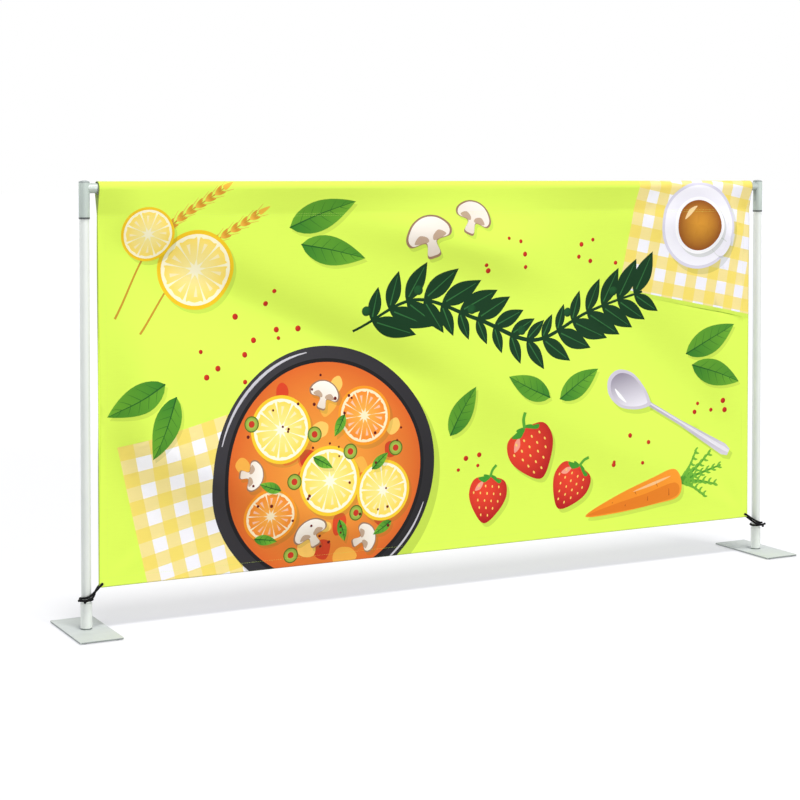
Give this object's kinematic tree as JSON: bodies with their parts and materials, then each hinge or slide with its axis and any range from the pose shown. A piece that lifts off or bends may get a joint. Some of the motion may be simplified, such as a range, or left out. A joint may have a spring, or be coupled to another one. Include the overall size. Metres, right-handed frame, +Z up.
{
  "type": "cafe barrier",
  "caption": "Free-standing cafe barrier: round posts on flat base plates, a crossbar in the top pocket of a printed cloth banner, and elastic ties at the lower corners.",
  "frame": {"origin": "on the floor, midway between the two posts, at the lowest face of the rubber feet", "axes": "+X along the barrier from the left post to the right one as seen from the printed front, -Y towards the viewer of the printed front, +Z up"},
  "size_m": [1.987, 0.225, 1.01],
  "materials": {
    "plate_steel": "satin powder coat",
    "pole_metal": "satin anodised",
    "head_metal": "satin anodised, darker",
    "ring_plastic": "matt",
    "cap_plastic": "satin moulded",
    "plug_plastic": "matt moulded",
    "screw_steel": "zinc plated",
    "spring_steel": "bright rolled",
    "rubber": "matt",
    "bar_metal": "mill finish",
    "cloth": "printed woven polyester",
    "eyelet_metal": "nickel plated",
    "elastic": "braided polyester cover"
  },
  "bodies": {
    "sockets": {"base_socket_left": "pole_metal", "socket_plug_left": "screw_steel", "base_screw_left": "screw_steel", "base_socket_right": "pole_metal", "socket_plug_right": "screw_steel", "base_screw_right": "screw_steel"},
    "plate_left": {"base_plate_left": "plate_steel", "base_foot_left_1": "rubber", "base_foot_left_2": "rubber", "base_foot_left_3": "rubber", "base_foot_left_4": "rubber"},
    "plate_right": {"base_plate_right": "plate_steel", "base_foot_right_1": "rubber", "base_foot_right_2": "rubber", "base_foot_right_3": "rubber", "base_foot_right_4": "rubber"},
    "frame": {"pole_left": "pole_metal", "pole_end_plug_left": "plug_plastic", "head_sleeve_left": "head_metal", "head_ring_left": "ring_plastic", "head_cap_left": "cap_plastic", "spigot_left": "pole_metal", "spigot_screw_left": "screw_steel", "bar_bush_left": "plug_plastic", "crossbar_left": "bar_metal", "eyelet_left": "eyelet_metal", "tie_left": "elastic", "pole_right": "pole_metal", "pole_end_plug_right": "plug_plastic", "head_sleeve_right": "head_metal", "head_ring_right": "ring_plastic", "head_cap_right": "cap_plastic", "spigot_right": "pole_metal", "spigot_screw_right": "screw_steel", "bar_bush_right": "plug_plastic", "crossbar_right": "bar_metal", "eyelet_right": "eyelet_metal", "tie_right": "elastic", "bar_joiner": "bar_metal", "joiner_rivet": "screw_steel", "snap_spring": "spring_steel", "banner": "cloth"},
    "snap_button": {"snap_button": "screw_steel"}
  },
  "joints": [
    {"name": "frame_lift", "type": "slide", "parent": "sockets", "child": "frame", "axis": [0, 0, 1], "range_m": [0, 0.06]},
    {"name": "plate_left_turn", "type": "hinge", "parent": "sockets", "child": "plate_left", "pos_m": [-0.9435, 0, 0.004], "axis": [0, 0, 1], "continuous": true},
    {"name": "plate_right_turn", "type": "hinge", "parent": "sockets", "child": "plate_right", "pos_m": [0.9435, 0, 0.004], "axis": [0, 0, 1], "continuous": true},
    {"name": "snap_button_press", "type": "slide", "parent": "frame", "child": "snap_button", "axis": [0, 0, 1], "range_m": [0, 0.005], "stiffness_N_per_m": 600, "springref_m": -0.002, "deforming": ["snap_spring"]}
  ]
}
